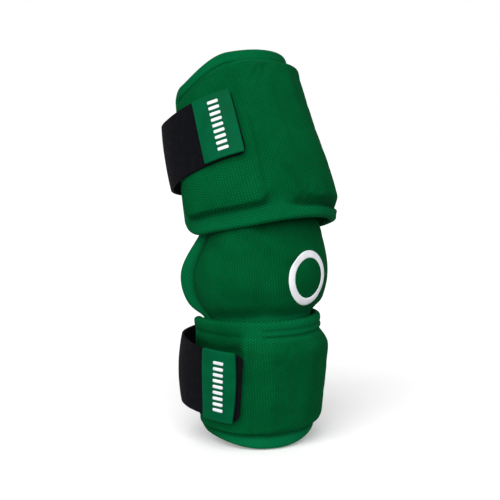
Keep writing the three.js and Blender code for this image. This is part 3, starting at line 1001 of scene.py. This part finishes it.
# Pull tabs: moulded green rubber plates sewn on the straps' free ends, with softened edges.
# Each has hooks under it that hold it on the cuff's cloth, and the edge at its free end is bowed a little.
upper_tab = {"turns": (37, 64.6), "width": 0.046, "bow": 0.0004}
forearm_tab = {"turns": (51, 76), "width": 0.0505, "bow": 0.0016}
tab_gap = 0.0005
tab_lift = strap_thickness + tab_gap
tab_thickness = 0.0026
tab_corner = 0.0013
tab_bevel = 0.0007
under_bevel = tab_bevel / 2
bevel_steps, corner_run_steps, face_steps = 5, 4, 24


def tab_half_length(cuff, strap, tab):
    radius = through(cuff["along"], cuff["radius"], strap["along"])
    lift = through(strap["turn"], strap["lift"], np.mean(tab["turns"])) + tab_lift
    return np.radians(tab["turns"][1] - tab["turns"][0]) / 2 * (radius + lift)


def tab_spot(cuff, strap, tab, x, y, extra):
    """Points on a tab: x from its middle to its free end, y across it, lifted off its underside."""
    half_turn = (tab["turns"][1] - tab["turns"][0]) / 2
    turn = np.mean(tab["turns"]) - half_turn * x / tab_half_length(cuff, strap, tab)
    return strap_spot(cuff, strap, turn, y, tab_lift + extra)


def moulded_rubber():
    """Smooth green moulded rubber with a fine grain and rubbed, duller patches."""
    green, rubbed_green = colour(0, 79, 46), colour(1, 87, 52)
    dull, more_dull_rubbed = 0.4, 0.2
    material, wire, shader = finish("moulded_rubber", {"Specular IOR Level": 0.02})
    rubbed = cloud(wire, scale=110, detail=3).ramp(low=0.3, high=0.7)
    grain = cloud(wire, scale=2400, detail=2)
    rubbed.mix(green, rubbed_green).feed(shader["Base Color"])
    (dull + rubbed * more_dull_rubbed).feed(shader["Roughness"])
    bump = wire.node("ShaderNodeBump", {}, {"Strength": 0.25, "Distance": 0.0001, "Height": grain})
    bump.feed(shader["Normal"])
    return material


def make_tab(name, cuff, strap, tab):
    """A tab's plate with bevelled edges, rounded corners and a bowed free end."""
    half = tab_half_length(cuff, strap, tab), tab["width"] / 2
    spread = []
    for end in half:
        bevel, corner = end - tab_bevel, end - 2 * tab_corner
        spread.append(stations(
            (-end, -bevel, bevel_steps),
            (-bevel, -corner, corner_run_steps),
            (-corner, corner, face_steps),
            (corner, bevel, corner_run_steps),
            (bevel, end, bevel_steps),
        ))
    x, y = np.meshgrid(*spread, indexing="ij")
    inset = np.minimum(half[0] - np.abs(x), half[1] - np.abs(y))
    dx, dy = (np.maximum(np.abs(place) - (end - tab_corner), 0) for place, end in zip((x, y), half))
    longer = np.maximum(np.hypot(dx, dy), tiny)
    pull = np.where((dx > 0) & (dy > 0), 1 - np.maximum(dx, dy) / longer, 0)
    x, y = x - np.sign(x) * dx * pull, y - np.sign(y) * dy * pull
    x = x + tab["bow"] * np.maximum(x / half[0], 0) * (1 - (y / half[1]) ** 2)
    soft = 1 - round_rise(inset, tab_bevel)
    outer = tab_spot(cuff, strap, tab, x, y, tab_thickness - tab_bevel * soft)
    inner = tab_spot(cuff, strap, tab, x, y, under_bevel * soft)
    return wall(name, outer[::-1], inner[::-1], np.stack([x, y], -1), {})


green_rubber = moulded_rubber()
for name, cuff, strap, tab, node in (
    ("upper_pull_tab", upper_cuff, upper_strap, upper_tab, "upper_tab"),
    ("forearm_pull_tab", forearm_cuff, forearm_strap, forearm_tab, "forearm_tab"),
):
    plate = make_tab(name, cuff, strap, tab)
    plate.data.materials.append(green_rubber)
    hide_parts(node)
    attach(plate, "root")


# Grip bars: a column of plain white rubber bars on each tab's face, which give the thumb a hold.
# They are moulded on with the tab, and a little greyer where they are rubbed.
bar_pitch = 0.0042
bar_size = (0.0009, 0.0078, 0.0023)
bar_reach = 0.0169
bar_at = 0.0012
bar_path_steps = 60


def make_grip(name, cuff, strap, tab):
    """A row of bars across a tab, a little nearer its free end than its middle."""
    y = stations((-bar_reach, bar_reach, bar_path_steps))
    line = tab_spot(cuff, strap, tab, bar_at, y, tab_thickness)
    ahead = tab_spot(cuff, strap, tab, 0, y, tab_thickness)
    rung = tab_spot(cuff, strap, tab, bar_at, y + row_rung, tab_thickness)
    return grow(path_of(name, line, out_of(line, ahead, rung), {}), row_of_blocks, {
        "Pitch": bar_pitch, "Size": bar_size, "Crease": 0.75, "Material": white_rubber,
    })


def rubbed_white():
    """White rubber, greyer where it is rubbed."""
    white, grey = colour(236, 238, 242), colour(214, 219, 224)
    dull, more_dull_rubbed = 0.45, 0.2
    material, wire, shader = finish("rubbed_white", {"Specular IOR Level": 0.25})
    rubbed = cloud(wire, scale=180, detail=4).ramp(low=0.35, high=0.75)
    rubbed.mix(white, grey).feed(shader["Base Color"])
    (dull + rubbed * more_dull_rubbed).feed(shader["Roughness"])
    return material


white_rubber = rubbed_white()
for name, cuff, strap, tab in (
    ("upper_grip", upper_cuff, upper_strap, upper_tab),
    ("forearm_grip", forearm_cuff, forearm_strap, forearm_tab),
):
    grip = make_grip(name, cuff, strap, tab)
    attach(grip, "root")


# Stage: a plain pale floor just under the guard, a broad key light from the upper left of the camera, and
# soft white light all round. The camera stands at the photograph's angle and looks down a little.
floor_half = 6.0
floor_gap = 0.0005
floor_level = cad_box[0].z - floor_gap
white_light = (1, 1, 1, 1)
corners = ((-1, -1), (1, -1), (1, 1), (-1, 1))
floor_points = [(x * floor_half, y * floor_half, floor_level) for x, y in corners]
floor = new_piece("floor", floor_points, [], [(0, 1, 2, 3)])
pale, _, _ = finish("pale_floor", {
    "Base Color": (0.94, 0.94, 0.94, 1), "Roughness": 0.9, "Specular IOR Level": 0,
    "Emission Color": white_light, "Emission Strength": 0.15,
})
floor.data.materials.append(pale)
floor.visible_diffuse = False

azimuth, elevation = math.radians(-35), math.radians(7)
camera_distance = 0.75
aim_right, aim_up = -0.00432, 0.00864
level_reach = math.cos(elevation)
back = Vector((math.sin(azimuth) * level_reach, -math.cos(azimuth) * level_reach, math.sin(elevation)))
right = Vector((math.cos(azimuth), math.sin(azimuth), 0))
up = back.cross(right)
camera = bpy.data.objects.new("camera", bpy.data.cameras.new("camera"))
camera.data.sensor_width = 36
camera.data.lens = 75
camera.location = right * aim_right + up * aim_up + back * camera_distance
camera.rotation_mode = "QUATERNION"
camera.rotation_quaternion = (-back).to_track_quat("-Z", "Y")
bpy.context.scene.collection.objects.link(camera)
bpy.context.scene.camera = camera

key_right, key_up, key_back = -0.2, 0.52, 0.83
key = bpy.data.objects.new("key", bpy.data.lights.new("key", "SUN"))
key.data.energy = 3.05
key.data.angle = math.radians(65)
key.rotation_mode = "QUATERNION"
key.rotation_quaternion = (right * key_right + up * key_up + back * key_back).to_track_quat("Z", "Y")
bpy.context.scene.collection.objects.link(key)

studio_strength = 0.46  # of the light that falls on the guard; the camera sees full white
world = bpy.data.worlds.new("studio")
world.use_nodes = True
background = world.node_tree.nodes["Background"].inputs
seen = Wire(world.node_tree).node("ShaderNodeLightPath", {}, {}, "Is Camera Ray")
(seen * (1 - studio_strength) + studio_strength).feed(background["Strength"])
background["Color"].default_value = white_light
bpy.context.scene.world = world
bpy.context.scene.view_settings.view_transform = "Standard"
